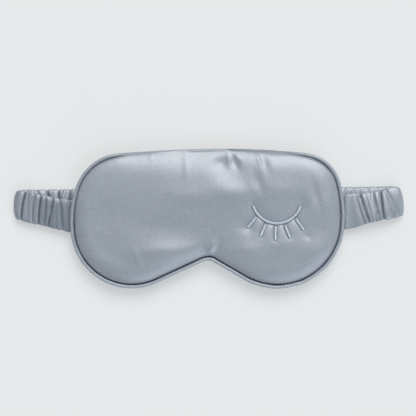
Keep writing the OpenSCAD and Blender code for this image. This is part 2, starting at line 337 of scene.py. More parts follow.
def make_piece(name, points, faces, material, uv=None, painted_shade=None, weld=0.0):
    """A smooth mesh object at the origin, from millimetre points and lists of corner numbers.

    uv and the painted shade are given by point. Points closer together than weld become one.
    """
    mesh = bpy.data.meshes.new(name)
    mesh.from_pydata((points * MM).tolist(), [], faces)
    if uv is not None:
        layer = mesh.uv_layers.new(name="UVMap")
        corner = np.zeros(len(mesh.loops), dtype=np.int64)
        mesh.loops.foreach_get("vertex_index", corner)
        layer.data.foreach_set("uv", (uv[corner] * MM).ravel())
    # Painted shade, 0 to 1, kept on the points for the satin to darken the colour
    if painted_shade is not None:
        shade = mesh.attributes.new("painted_shade", "FLOAT", "POINT")
        shade.data.foreach_set("value", np.clip(painted_shade, 0.0, 1.0).astype(np.float32).ravel())
    work = bmesh.new()
    work.from_mesh(mesh)
    if weld:
        bmesh.ops.remove_doubles(work, verts=work.verts, dist=weld * MM)
    bmesh.ops.recalc_face_normals(work, faces=work.faces)
    work.to_mesh(mesh)
    work.free()
    mesh.polygons.foreach_set("use_smooth", np.ones(len(mesh.polygons), dtype=bool))
    mesh.update()
    mesh.materials.append(material)
    return add_object(name, mesh)


def ramp(at, start, end):
    """0 up to start, 1 from end on, and 3t^2 - 2t^3 of the share t of the way between."""
    t = np.clip((at - start) / (end - start), 0.0, 1.0)
    return t * t * (3 - 2 * t)


def bell(off, half):
    """exp(-(off / half)^2): 1 in the middle, and little past twice the half width."""
    return np.exp(-((off / half) ** 2))


def segment_distance(x, y, a, b):
    """Distance of points from the straight line between a and b."""
    d = np.array(b, float) - np.array(a, float)
    t = ((x - a[0]) * d[0] + (y - a[1]) * d[1]) / (d @ d)
    t = np.clip(t, 0.0, 1.0)
    return np.hypot(x - a[0] - t * d[0], y - a[1] - t * d[1])


# Outline of the mask: what its two halves share, then the sizes of each
TOP_Y = 53.5
NOTCH_Y = -32.45
LOBE_STEP = 0.2
RIGHT_HALF = dict(half_w=104.2, foot=-54.7, top_r=614, corner_r=30.2, side_r=101.6, lobe_r=51.5, notch_r=4.2)
LEFT_HALF = dict(half_w=106.4, foot=-52.8, top_r=943, corner_r=38.0, side_r=79.2, lobe_r=47.3, notch_r=14.3)
EDGE_POINTS = 1500
BLOCK_POINTS = 1500
DENSE_POINTS = 6000


def meeting(a, from_a, b, from_b):
    """Point at one distance from a and another from b, to the right of the way from a to b."""
    way = b - a
    apart = np.hypot(*way)
    u = way / apart
    along = (from_a ** 2 - from_b ** 2 + apart ** 2) / (2 * apart)
    return a + u * along + np.array([u[1], -u[0]]) * math.sqrt(from_a ** 2 - along ** 2)


def bearing(a, b):
    """Angle of the way from a to b, in degrees."""
    return math.degrees(math.atan2(b[1] - a[1], b[0] - a[0]))


def arc(centre, radius, start, end, count=160):
    """Points on a circle from one angle to another."""
    angle = np.radians(np.linspace(start, end, count))
    return centre + radius * np.stack([np.cos(angle), np.sin(angle)], 1)


def half_edge(half_w, foot, top_r, corner_r, side_r, lobe_r, notch_r):
    """Right half of an outline: top, corner, side, lobe and notch arcs that run into each other."""
    top_c = np.array([0.0, TOP_Y - top_r])
    lobe_c = np.array([half_w - LOBE_STEP - lobe_r, foot + lobe_r])
    side_dx = half_w - side_r - lobe_c[0]
    side_c = np.array([half_w - side_r, lobe_c[1] + math.sqrt((side_r - lobe_r) ** 2 - side_dx ** 2)])
    corner_c = meeting(top_c, top_r - corner_r, side_c, side_r - corner_r)
    notch_c = np.array([0.0, NOTCH_Y - notch_r])
    apart = np.hypot(*(notch_c - lobe_c))
    top_end = bearing(top_c, corner_c)
    corner_end = bearing(side_c, corner_c)
    side_end = bearing(side_c, lobe_c)
    lobe_end = bearing(lobe_c, notch_c) + math.degrees(math.acos((lobe_r + notch_r) / apart))
    if lobe_end > side_end:
        lobe_end -= 360
    notch_start = lobe_end + (180 if lobe_end <= 90 else -180)
    return np.concatenate([
        arc(top_c, top_r, 90, top_end),
        arc(corner_c, corner_r, top_end, corner_end)[1:],
        arc(side_c, side_r, corner_end, side_end)[1:],
        arc(lobe_c, lobe_r, side_end, lobe_end)[1:],
        arc(notch_c, notch_r, notch_start, 90),
    ])


# Closed outline, clockwise from the top middle, with its arc length at each point
right_half = half_edge(**RIGHT_HALF)
left_half = half_edge(**LEFT_HALF)[::-1] * np.array([-1.0, 1.0])
EDGE = np.concatenate([right_half[:-1], left_half[:-1], right_half[:1]])
EDGE_RUN = np.concatenate([[0.0], np.cumsum(np.hypot(*np.diff(EDGE, axis=0).T))])
EDGE_LENGTH = EDGE_RUN[-1]


def spread(places):
    """Points of the outline at shares of its whole arc length."""
    at = np.mod(places, 1.0) * EDGE_LENGTH
    return np.stack([np.interp(at, EDGE_RUN, EDGE[:, k]) for k in (0, 1)], 1)


def unit(ways):
    """Ways in the plane, each divided by its length."""
    return ways / np.hypot(*ways.T)[:, None]


def outward(loop):
    """Unit normals of a closed clockwise loop of even points, pointing out."""
    way = unit(np.roll(loop, -1, axis=0) - np.roll(loop, 1, axis=0))
    return np.stack([-way[:, 1], way[:, 0]], 1)


# Even points of the outline by share of arc length, and the ways out from it there
SHARES = np.linspace(0, 1, DENSE_POINTS, endpoint=False)
RING = spread(SHARES)
RING_OUT = outward(RING)


def read_round(places, values):
    """Pairs of values that go with the even points, read between them at shares of arc length."""
    return np.stack([np.interp(places, SHARES, values[:, k], period=1.0) for k in (0, 1)], 1)


def edge_distance(x, y):
    """Distance of points from the outline, in blocks of points."""
    ring = spread(np.linspace(0, 1, EDGE_POINTS, endpoint=False))
    flat = np.stack([x.ravel(), y.ravel()], 1)
    parts = [
        np.sqrt(((block[:, None, :] - ring) ** 2).sum(-1).min(1))
        for block in np.array_split(flat, max(1, len(flat) // BLOCK_POINTS))
    ]
    return np.concatenate(parts).reshape(x.shape)


# Embroidered eye, with the lashes by angle from straight down
EYE = np.array([52.15, 14.3])
EYELID_R = 18.9
EYELID_HALF = 74.0
EYE_TURN = -1.5
LASH_ROOTS = (-47.6, -23.0, -2.2, 17.0, 43.7)
LASH_AIMS = (-38.9, -23.5, -0.6, 22.7, 36.0)
LASH_LENGTH = 11.4
LASH_GAP = 1.7
LASH_PROUD = 0.14
THREAD_HALF = 1.45
THREAD_RISE = 1.9
# The panel is sunk under the lines: depth and half width of a narrow and a broad hollow
LID_HOLLOWS = ((0.75, 1.8), (0.95, 7.0))
LASH_HOLLOWS = ((0.55, 1.6), (0.25, 5.0))


def eye_polar(radius, angle):
    """Point round the eye's centre, the angle in degrees from straight down towards +X."""
    a = np.radians(np.asarray(angle) + EYE_TURN)
    return EYE + np.stack([radius * np.sin(a), -radius * np.cos(a)], -1)


def lash_line(number):
    """Two ends of a lash."""
    root = eye_polar(EYELID_R + LASH_GAP, LASH_ROOTS[number])
    aim = math.radians(LASH_AIMS[number] + EYE_TURN)
    return root, root + LASH_LENGTH * np.array([math.sin(aim), -math.cos(aim)])


def lid_distance(x, y):
    """Distance from the eyelid line."""
    dx = x - EYE[0]
    dy = y - EYE[1]
    angle = np.degrees(np.arctan2(dx, -dy)) - EYE_TURN
    angle = np.radians(np.clip(angle, -EYELID_HALF, EYELID_HALF) + EYE_TURN)
    return np.hypot(dx - EYELID_R * np.sin(angle), dy + EYELID_R * np.cos(angle))


def lash_distance(x, y):
    """Distance from the nearest lash, less the part of its tip that stands proud."""
    lines = [lash_line(k) for k in range(len(LASH_ROOTS))]
    return np.min([segment_distance(x, y, a, b + LASH_PROUD * (a - b)) for a, b in lines], axis=0)


def eye_hollows(x, y):
    """How far the embroidery draws the panel down: a sum of bells of the distance from its lines."""
    lid = lid_distance(x, y)
    lash = lash_distance(x, y)
    under_lid = sum(deep * bell(lid, half) for deep, half in LID_HOLLOWS)
    return under_lid + sum(deep * bell(lash, half) for deep, half in LASH_HOLLOWS)


# Soft folds of the front: middle, turn from +X in degrees, half length, half width, height
FOLDS = (
    # the top middle is drawn down to its seam, with a pinch and the slack below it
    (-4, 50, 0, 30, 17, -2.2),
    (16, 46, 90, 6.5, 1.9, 0.6),
    (22, 47.5, 132, 4.5, 1.7, 0.4),
    (9.8, 42.5, 20, 6, 4.5, -0.95),
    (20.6, 42, 117, 5.5, 2.7, -0.85),
    (15.5, 37.5, 0, 11, 8, -1.15),
    (18, 19, -8, 15, 8, 1.35),
    # creases from the top seam towards the eye
    (43, 42, 107, 8, 3.2, -0.65),
    (38.8, 44.5, 107, 5.5, 1.6, 0.42),
    (38.5, 26, 108, 9, 3.6, -0.7),
    (57, 36, 0, 12, 6.5, 0.25),
    (53, 22, 0, 15, 8, 0.75),
    # the slack beside the eye
    (82.2, 16, 104, 11, 2.6, -0.65),
    (76.5, 13, 104, 9, 3.5, 0.25),
    (82, -26.5, -6, 18, 7, 0.55),
    (86, -9, 0, 15, 8, -0.6),
    (89, 9, 0, 12, 8, 0.35),
    (74.8, -14.5, -45, 3.5, 3, -0.45),
    # hollow and roll under the inner lash, puff under the others
    (28.5, -6.5, -20, 8, 6, -1.15),
    (31, -25, -12, 11, 6, 1.05),
    (54, -21, 0, 15, 6, 0.5),
    # creases that run up from the nose notch
    (1.5, -23.5, 60, 7, 2, 0.85),
    (7, -20, 75, 6, 2.6, -0.6),
    (16, -30.5, -10, 9, 3.4, -0.45),
    (-6, -24, 50, 6, 3, -0.4),
    # the broad roll across the lower left, and the hollows and rolls about it
    (-34, -25, 2, 23, 6.8, 1.6),
    (-30, -6.5, -2, 27, 8.5, -1),
    (-6, 5, -8, 16, 7.5, -0.4),
    (-14, 17, -6, 18, 7, 0.55),
    (-54.5, -31.5, 108, 7, 2.2, 0.45),
    (-78, -33, -24, 17, 6, 0.6),
    (-76, 3, 10, 20, 10, -0.4),
    # small marks at the left seam and soft ridges at the top
    (-99.5, -13.5, 8, 5.5, 1.5, -0.45),
    (-99, -17, 10, 5, 1.6, 0.3),
    (-16.6, 40, 91, 12, 2.6, 0.45),
    (-43.5, 48, 90, 4, 1.8, 0.22),
)


def fold_relief(x, y):
    """Sum of soft ellipses: height * exp(-(along / length)^2 - (over / width)^2) for each fold."""
    relief = np.zeros_like(x)
    for at_x, at_y, turn, length, width, height in FOLDS:
        c = math.cos(math.radians(turn))
        s = math.sin(math.radians(turn))
        along = (x - at_x) * c + (y - at_y) * s
        over = (y - at_y) * c - (x - at_x) * s
        relief += height * np.exp(-(along / length) ** 2 - (over / width) ** 2)
    return relief


def slow_waves(x, y, seed, count, shortest, longest):
    """Sum of sines of random direction, wavelength and phase, about 1 high in all."""
    draw = np.random.default_rng(seed)
    turns = draw.uniform(0, math.tau, count)
    lengths = draw.uniform(shortest, longest, count)
    phases = draw.uniform(0, math.tau, count)
    total = np.zeros_like(x)
    for turn, length, phase in zip(turns, lengths, phases):
        way = x * math.cos(turn) + y * math.sin(turn)
        total += np.sin(math.tau * way / length + phase)
    return total / math.sqrt(count)


# Along the top the seam rolls to the back, so the panel nearly hides the piping there
ROLL_IN = 1.65
ROLL_DOWN = 1.1
RIM_DOWN = 0.6
ROLL_STARTS = (-76.0, -50.0)
ROLL_ENDS = (56.0, 86.0)
ROLL_EASES = (12.0, 19.0)
ROLL_EASED = 0.35


def seam_roll(x, y):
    """Share of the roll: ramps up and down along the top edge, 0 round the sides and below."""
    share = ramp(x, *ROLL_STARTS) * (1 - ramp(x, *ROLL_ENDS))
    return share * (1 - ROLL_EASED * ramp(x, *ROLL_EASES)) * (y > 0)


# Ripples along the seam: seed, shortest and longest wave
RIM_WAVES = (43, 8.0, 22.0)
FRONT_WAVES = (11, 3.4, 9.0)
BACK_WAVES = (12, 3.4, 9.0)
DARK_WAVES = (41, 12.0, 45.0)
PIPE_SIDE_WAVES = (21, 9.0, 30.0)
PIPE_LIFT_WAVES = (22, 12.0, 40.0)
PIPE_GIRTH_WAVES = (23, 7.0, 20.0)
RIPPLE_SINES = 5
RIPPLE_PEAK = 2.2
RIPPLE_SWELLS = 3


def pucker(places, seed, shortest, longest):
    """Uneven ripples by share of arc length: a sum of sines that swells a few times on the way round."""
    draw = np.random.default_rng(seed)
    waves = draw.uniform(shortest, longest, RIPPLE_SINES)
    phase = draw.uniform(0, math.tau, RIPPLE_SINES)
    swell = 0.6 + 0.4 * np.sin(math.tau * places * RIPPLE_SWELLS + 1.0)
    turns = np.round(EDGE_LENGTH / waves)
    sines = np.sin(math.tau * places[:, None] * turns + phase)
    return sines.sum(1) / RIPPLE_PEAK * swell


# Cushion: spokes of its mesh from the rim in to a bowed spine
RIM_IN = 1.9
RIM_UNDER = 0.5
RIM_Z = SEAM_Z - RIM_UNDER
RIM_SLACK = 0.20
SLACK_ENDS = (-40.0, -20.0)
SCALLOP = 0.6
SCALLOP_STEP = 4.8
SCALLOP_STARTS = (14.0, 22.0)
SCALLOP_ENDS = (62.0, 82.0)
SCALLOP_SWAY = 0.35
SWAY_RUN = 9.0
SPOKES_ACROSS = 260
SPOKES_ROUND = 160
SPINE_REACH = 54.0
SPINE_SHARE = 0.9
SPINE_Y = 10.0
SPINE_BOW = 8.0
TOP_FROM_Y = 20.0
TOP_HALF = 80.0
LOW_FROM_Y = -15.0
LOW_HALF = 70.0


def cushion_spokes():
    """Rim points and the spine points that they run in to, clockwise, with shares of arc length.

    The rim is the outline moved in, less where the seam rolls, with slack below and scallops at the top
    right. Above and below the spine the spokes stand on even steps of it. Round each side they fan out of
    the spine's end.
    """
    x, y = RING.T
    run = SHARES * EDGE_LENGTH
    slack = RIM_SLACK * pucker(SHARES, *RIM_WAVES) * (1 - ramp(y, *SLACK_ENDS))
    drawn = ramp(x, *SCALLOP_STARTS) * (1 - ramp(x, *SCALLOP_ENDS)) * (y > 0)
    beat = run / SCALLOP_STEP + SCALLOP_SWAY * np.sin(run / SWAY_RUN)
    inset = RIM_IN - ROLL_IN * seam_roll(x, y) + slack
    inset = inset + SCALLOP * drawn * np.abs(np.sin(math.pi * beat))
    inner = RING - inset[:, None] * RING_OUT
    split = SPINE_REACH / SPINE_SHARE
    across = np.linspace(-split, split, SPOKES_ACROSS)

    def share_at(near, wanted_x):
        """Shares of arc length of one edge at the wanted x, with those past the top middle below 0."""
        order = np.argsort(x[near])
        wrapped = SHARES[near] - (SHARES[near] > 0.75)
        return np.interp(wanted_x, x[near][order], wrapped[order])

    along_top = share_at((y > TOP_FROM_Y) & (np.abs(x) < TOP_HALF), across)
    along_low = share_at((y < LOW_FROM_Y) & (np.abs(x) < LOW_HALF), across[::-1])
    right = np.linspace(along_top[-1], along_low[0], SPOKES_ROUND + 2)[1:-1]
    left = np.linspace(along_low[-1], along_top[0] + 1.0, SPOKES_ROUND + 2)[1:-1]
    shares = np.concatenate([along_top, right, along_low, left])
    spine_x = np.concatenate([
        across * SPINE_SHARE,
        np.full(SPOKES_ROUND, SPINE_REACH),
        across[::-1] * SPINE_SHARE,
        np.full(SPOKES_ROUND, -SPINE_REACH),
    ])
    spine_y = SPINE_Y - SPINE_BOW * (spine_x / SPINE_REACH) ** 2
    return read_round(np.mod(shares, 1.0), inner), np.stack([spine_x, spine_y], 1), shares


rim, spine, rim_share = cushion_spokes()

# Front panel: a ditch beside the seam, a crown, and a steeper edge with a lip at the two upper corners
DITCH = 1.4
DITCH_DROP = 1.0
CROWN_RUN = (13.0, 22.0)
CROWN_WIDENS = (-5.0, 35.0)
CROWN_POWER = 2.4
CORNER_POWER = {1: 0.5, -1: 1.4}
CORNER_FROM_Y = (2.0, 18.0)
CORNER_FROM_X = (52.0, 72.0)
LIP_RISE = 0.6
LIP_AT = 1.4
LIP_HALF = 1.2
SLOW_RISE = 0.7
SLOW_RUN = (6.0, 40.0)
RIPPLE_RISE = 0.16
RIPPLE_FALL = 3.2
RIPPLE_RUN = 1.2
FOLD_AT_RIM = 0.35
FOLD_RUN = 2.5
INSIDE = 6.0
WAVE_RISE = 0.10
FRONT_SLOW_WAVES = (5, 9, 26.0, 70.0)
# Back panel: a shallower crown
BACK_SPARE = 0.4
BACK_RUN = 28.0
BACK_POWER = 2.0
BACK_RIPPLE_RISE = 0.24
BACK_RIPPLE_FALL = 5.0
BACK_RIPPLE_RUN = 1.5
BACK_INSIDE = 8.0
BACK_WAVE_RISE = 0.2
BACK_SLOW_WAVES = (8, 9, 24.0, 60.0)


def upper_corner(x, y):
    """Share of the two upper corners, a ramp up in y times a ramp out in x."""
    return ramp(y, *CORNER_FROM_Y) * ramp(np.abs(x), *CORNER_FROM_X)


def crown(depth, run, power):
    """Superellipse from 0 at the rim to 1 where depth reaches run."""
    t = np.clip(depth / run, 0.0, 1.0)
    return (1 - (1 - t) ** power) ** (1 / power)


def front_height(x, y, depth, ripple):
    """Level of the front by depth in from the rim.

    The rim's level, less the ditch, plus crown, lip, slow rise, seam ripples, folds and slow waves, less
    the hollows of the embroidery.
    """
    inside = ramp(depth, 0.0, INSIDE)
    past = depth - DITCH
    corner = upper_corner(x, y)
    run = CROWN_RUN[0] + (CROWN_RUN[1] - CROWN_RUN[0]) * ramp(y, *CROWN_WIDENS)
    power = CROWN_POWER + np.where(x < 0, CORNER_POWER[-1], CORNER_POWER[1]) * corner
    rise = FRONT_TOP - RIM_Z + DITCH_DROP - SLOW_RISE
    held = FOLD_AT_RIM + (1 - FOLD_AT_RIM) * inside
    return (
        RIM_Z - DITCH_DROP * ramp(depth, 0.0, DITCH)
        + rise * crown(np.maximum(past, 0.0), run, power)
        + LIP_RISE * corner * bell(past - LIP_AT, LIP_HALF)
        + SLOW_RISE * ramp(depth, *SLOW_RUN)
        + RIPPLE_RISE * ripple * np.exp(-depth / RIPPLE_FALL) * ramp(past, 0.0, RIPPLE_RUN)
        + fold_relief(x, y) * held * ramp(past, 0.0, FOLD_RUN)
        + WAVE_RISE * slow_waves(x, y, *FRONT_SLOW_WAVES) * inside
        - eye_hollows(x, y)
    )


def back_height(x, y, depth, ripple):
    """Level of the back: the rim's level, less a crown, plus seam ripples and slow waves."""
    fall = RIM_Z - BACK_LOW - BACK_SPARE
    fading = np.exp(-depth / BACK_RIPPLE_FALL) * ramp(depth, 0.0, BACK_RIPPLE_RUN)
    return (
        RIM_Z - fall * crown(depth, BACK_RUN, BACK_POWER)
        + BACK_RIPPLE_RISE * ripple * fading
        + BACK_WAVE_RISE * slow_waves(x, y, *BACK_SLOW_WAVES) * ramp(depth, 0.0, BACK_INSIDE)
    )


# Rings of the two panels, and where the top seam is drawn tight
FRONT_RINGS = 46
FRONT_EASE = 1.45
BACK_RINGS = 27
BACK_EASE = 1.3
WELD = 0.01
TIGHT_X = 35.0
TIGHT_HALF = 22.0
TIGHT_MORE = 0.9
RIPPLE_LEAST = 0.35
# Painted shade in the seam's ditch: how far it fades out, and how far in towards the rim it is held
SEAM_FADE = 1.3
CORNER_FADE = 0.6
DARK_HELD = 0.38
DARK_HELD_ABOVE = 0.42
ABOVE_Y = (-45.0, 10.0)
DARK_WANDER = 0.30
DARK_HELD_LEFT = 0.55
DARK_STITCH = 0.36
SEAM_STITCH = 2.7
DARK_HELD_ROLL = 3.0


def painted_seam_shade(depth, roll):
    """Painted shade of the seam's ditch: 1 at the rim, ramping out with depth, with a beat of stitches along
    it.
    """
    x, y = rim.T
    stitches = np.round(EDGE_LENGTH / SEAM_STITCH)
    held = (
        DARK_HELD + DARK_HELD_ABOVE * ramp(y, *ABOVE_Y)
        + DARK_WANDER * pucker(rim_share, *DARK_WAVES)
        + DARK_HELD_LEFT * ramp(y, *CORNER_FROM_Y) * (x < 0)
        + DARK_STITCH * np.sin(math.tau * rim_share * stitches)
    )
    fade = SEAM_FADE + (CORNER_FADE - SEAM_FADE) * upper_corner(x, y)
    return 1 - ramp(depth + held + DARK_HELD_ROLL * roll - DITCH, 0.0, fade)


def cushion_layer(rings, ease, height, waves):
    """One panel: rings from the rim in to the spine by a power of the share, closer near the rim."""
    t = np.linspace(0, 1, rings)[:, None, None] ** ease
    flat = rim + (spine - rim) * t
    x = flat[..., 0]
    y = flat[..., 1]
    roll = seam_roll(*rim.T)
    depth = np.maximum(edge_distance(x, y) - RIM_IN + ROLL_IN * roll, 0.0)
    tight = bell(rim[:, 0] - TIGHT_X, TIGHT_HALF) * (rim[:, 1] > 0)
    ripple = (RIPPLE_LEAST + TIGHT_MORE * tight) * pucker(rim_share, *waves)
    z = height(x, y, depth + DITCH * roll, ripple)
    z[0] = RIM_Z - RIM_DOWN * roll
    return np.stack([x, y, z], -1), painted_seam_shade(depth, roll)


def make_cushion():
    """Front and back panels sewn together at the rim, as one closed padded form."""
    # Each panel comes with the painted shade of its ditch, kept on its points for the satin
    front, front_dark = cushion_layer(FRONT_RINGS, FRONT_EASE, front_height, FRONT_WAVES)
    back, back_dark = cushion_layer(BACK_RINGS, BACK_EASE, back_height, BACK_WAVES)
    dark = np.concatenate([front_dark.ravel(), back_dark.ravel()])
    points = np.concatenate([front.reshape(-1, 3), back.reshape(-1, 3)])
    spokes = len(rim)
    upper = grid_faces(FRONT_RINGS, spokes, wrap_cols=True)
    under = grid_faces(BACK_RINGS, spokes, wrap_cols=True)[:, ::-1] + FRONT_RINGS * spokes
    faces = np.concatenate([upper, under]).tolist()
    return make_piece("mask_cushion", points, faces, satin_front, painted_shade=dark, weld=WELD)


cushion = make_cushion()
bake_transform(cushion)
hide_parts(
    *[f"{node}_{side}" for side in ("left", "right")
      for node in ("front_panel", "back_panel", "wadding_front", "wadding_back", "blackout_liner")],
    "embroidery_backing",
)

# Piping: a satin-covered cord round the whole seam, with drag lines of its bias cut
PIPE_STEPS = 900
PIPE_SIDES = 18
PIPE_ROLL_IN = 0.2
PIPE_WANDER = 0.10
DRAG_STEP = 3.1
DRAG_RISE = 0.016
DRAG_SLANT = 1.5
GIRTH_UNEVEN = 0.02
# Painted shade on the piping where the seam rolls over it at the top: a share of the roll, more from the
# given x on
ROLL_SHADE_LEFT = 0.35
ROLL_SHADE_MORE = 0.55
ROLL_SHADE_STARTS = (12.0, 18.0)
# Its butt join: fine steps near it, a groove, and one end that stands a little further out
JOIN_AT = np.array([102.0, 4.0])
JOIN_NEAR = 2.2
JOIN_STEPS = 45
JOIN_CLEAR = 2.4
JOIN_HALF = 0.40
JOIN_DEPTH = 0.30
JOIN_OUT = 0.12
JOIN_OUT_RUN = 0.3
JOIN_OUT_FADE = 12.0


def make_piping():
    """A round tube along the outline moved in by its radius, with bias drag lines and one butt join.

    The radius is the cord's, times a slanted sine for the drag lines and ripples, less the join's groove.
    """
    even = np.linspace(0, 1, PIPE_STEPS, endpoint=False)
    at_join = even[np.argmin(np.hypot(*(spread(even) - JOIN_AT).T))]
    near = at_join + np.linspace(-JOIN_NEAR, JOIN_NEAR, JOIN_STEPS) / EDGE_LENGTH
    places = np.sort(np.concatenate([even[np.abs(even - at_join) > JOIN_CLEAR / EDGE_LENGTH], near]))
    past_join = (places - at_join) * EDGE_LENGTH
    out = unit(read_round(places, RING_OUT))
    flat = read_round(places, RING)
    roll = seam_roll(*flat.T)
    wander = PIPE_WANDER * pucker(places, *PIPE_SIDE_WAVES)
    stands_out = JOIN_OUT * ramp(past_join, -JOIN_OUT_RUN / 2, JOIN_OUT_RUN / 2)
    stands_out = stands_out * (1 - ramp(past_join, 0.0, JOIN_OUT_FADE))
    flat = flat - (PIPE_R * (1 + PIPE_ROLL_IN * roll) + wander - stands_out)[:, None] * out
    lift = PIPE_WANDER * pucker(places, *PIPE_LIFT_WAVES) - ROLL_DOWN * roll
    path = np.concatenate([flat, (SEAM_Z + lift)[:, None]], 1)
    angle = np.linspace(0, math.tau, PIPE_SIDES, endpoint=False)
    drags = np.round(EDGE_LENGTH / DRAG_STEP)
    drag = np.sin(math.tau * places[:, None] * drags + DRAG_SLANT * angle)
    girth = GIRTH_UNEVEN * pucker(places, *PIPE_GIRTH_WAVES)[:, None]
    radius = PIPE_R * (1 + DRAG_RISE * drag + girth) - JOIN_DEPTH * bell(past_join, JOIN_HALF)[:, None]
    side = np.concatenate([out, np.zeros((len(out), 1))], 1)[:, None, :]
    around = np.cos(angle)[:, None] * side + np.sin(angle)[:, None] * np.array([0.0, 0.0, 1.0])
    grid = path[:, None, :] + radius[..., None] * around
    faces = grid_faces(len(places), PIPE_SIDES, True, True).tolist()
    uv = grid_uv(places * EDGE_LENGTH, np.linspace(0, math.tau * PIPE_R, PIPE_SIDES, endpoint=False))
    # Painted shade: the piping is darkened where the top seam rolls over it
    roll_shade = (ROLL_SHADE_LEFT + ROLL_SHADE_MORE * ramp(flat[:, 0], *ROLL_SHADE_STARTS)) * roll
    dark = np.repeat(roll_shade, PIPE_SIDES)
    return make_piece("piping", grid.reshape(-1, 3), faces, satin_bias, uv, dark)


piping = make_piping()
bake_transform(piping)
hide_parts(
    *[f"{node}_{side}" for side in ("left", "right") for node in ("piping_cover", "piping_cord")],
)


# Embroidery: satin stitch, yarns laid across each line
STITCH_PITCH = 0.42
STITCH_SAMPLES = 6
STITCH_SIDES = 13
STITCH_UNDER = 0.28
STITCH_LIFT = 0.05
TIP_RUN = 0.8
TIP_LEAST = 0.12
YARN_LEAN = 0.25
YARN_LEAST = 0.90
YARN_ROUND = 0.12
YARN_UNEVEN = 0.045


def panel_level(x, y):
    """Level of the front panel at points inside it."""
    depth = np.maximum(edge_distance(x, y) - RIM_IN, 0.0)
    return front_height(x, y, depth, np.zeros_like(x))


def stitched_line(name, flat, length, node):
    """Half-round ridge along flat points: yarn ridges across it, and ends that taper round.

    The ridge is a half ellipse, times the root of the way in from its ends, times half a wave of sine for
    each yarn and a random gain of its own. A fan of triangles closes each end.
    """
    count = len(flat)
    run = np.linspace(0, length, count)
    way = unit(np.gradient(flat, axis=0))
    side = np.stack([way[:, 1], -way[:, 0]], 1)
    taper = np.sqrt(np.clip(np.minimum(run, length - run) / TIP_RUN, 0.0, 1.0))
    taper = TIP_LEAST + (1 - TIP_LEAST) * taper
    angle = np.linspace(-STITCH_UNDER, math.pi + STITCH_UNDER, STITCH_SIDES)
    draw = np.random.default_rng(len(name) * 7 + count)
    yarn = (run[:, None] + YARN_LEAN * np.cos(angle)) / STITCH_PITCH
    yarn_no = np.floor(yarn).astype(int)
    gain = draw.normal(0, YARN_UNEVEN, yarn_no.max() + 3)
    ridge = YARN_LEAST + YARN_ROUND * np.sin(math.pi * (yarn % 1.0)) + gain[yarn_no]
    reach = THREAD_HALF * taper[:, None] * ridge * np.cos(angle)
    rise = THREAD_RISE * taper[:, None] * ridge * np.sin(angle)
    plan = flat[:, None, :] + reach[..., None] * side[:, None, :]
    base = panel_level(*flat.T)[:, None] + STITCH_LIFT
    grid = np.concatenate([plan, (base + rise)[..., None]], -1)
    ends = np.concatenate([grid[:1].mean(1), grid[-1:].mean(1)])
    points = np.concatenate([grid.reshape(-1, 3), ends])
    uv = grid_uv(run, np.linspace(0, STITCH_WIDE, STITCH_SIDES))
    uv = np.concatenate([uv, uv[[0, -1]]])
    first = np.arange(STITCH_SIDES)
    following = np.roll(first, -1)
    last = (count - 1) * STITCH_SIDES
    hub = np.full(STITCH_SIDES, count * STITCH_SIDES)
    faces = grid_faces(count, STITCH_SIDES, False, True).tolist()
    faces += np.stack([hub, following, first], 1).tolist()
    faces += np.stack([hub + 1, last + first, last + following], 1).tolist()
    piece = make_piece(name, points, faces, floss, uv)
    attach(piece, "mask_right")
    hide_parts(node)


def make_embroidery():
    """The closed eyelid line and its five lashes."""
    span = math.radians(2 * EYELID_HALF) * EYELID_R
    count = int(span / STITCH_PITCH * STITCH_SAMPLES)
    lid = eye_polar(EYELID_R, np.linspace(-EYELID_HALF, EYELID_HALF, count))
    stitched_line("stitched_eyelid", lid, span, "eyelid_line")
    for number in range(len(LASH_ROOTS)):
        root, tip = lash_line(number)
        steps = int(LASH_LENGTH / STITCH_PITCH * STITCH_SAMPLES)
        line = root + (tip - root) * np.linspace(0, 1, steps)[:, None]
        stitched_line(f"stitched_lash_{number + 1}", line, LASH_LENGTH, f"lash_{number + 1}")


make_embroidery()

# Strap: a satin sleeve gathered on elastic, folded back on itself at both ends
SLEEVE_HALF = 12.4
SECTION = 44
SPACING = 0.32
TAIL = {1: 5.2, -1: 3.0}
LAP_DEG = 30.0
# Its centre line: places in y, the dip into the seam, and the outward set and slant of the fold
SEAM_Y = 3.3
FOLD_Y = {1: STRAP_Y - 2.1, -1: STRAP_Y - 0.2}
BACK_EVENS = (35.0, 125.0)
SEAM_DIP = 1.3
SEAM_DIP_HALF = 9.0
TAIL_DIP = 0.45
TAIL_OUT = {1: 3.0, -1: 0.8}
TAIL_RUN = 3.0
LEVEL_RUN = 6.0
FOLD_OUT = 0.6
FOLD_SLANT = {1: 0.09, -1: 0.03}
FOLD_BOW = 0.007
FOLD_SLANT_RUN = 25.0
# Its section: powers of a superellipse, and fullness at the start, on the run, round the fold and behind
WIDE_POWER = 0.72
LIFT_POWER = 0.85
START_RUN = 12.0
START_OUT = 0.7
START_IN = 0.6
RUN_FULL = 1.6
APEX_HALF = 4.2
APEX_FLAT = 0.3
APEX_NARROW = 1.3
BEHIND_RUN = 12.0
BEHIND_FULL = 1.25
BEHIND_NARROW = 0.4
FLARE = {1: 1.0, -1: 0.0}
FLARE_RUN = 12.0
SLEEVE_LEAST = 0.3
FACE_TURN = 1.6
PLUMP = 0.05
PLUMP_RATE = 0.55
PLUMP_LEAN = 1.3
LOWEST = 0.02
# The run rolls about its centre line, by degrees
RUN_ROLL = {1: -8.0, -1: 8.0}
RUN_ROLL_RUN = 24.0
RUN_ROLL_END = 15.0
RUN_ROLL_LIFT = 0.3
# How far the gathers sink its faces, and draw in its edges
GATHER_FROM = 1.0
SMOOTH_START = {1: 10.0, -1: 4.0}
HELD_OUT = 0.55
HELD_IN = 0.35
HELD_BEHIND = 0.5
DRAWN_IN = 0.5
DRAWN_MOST = 2.0
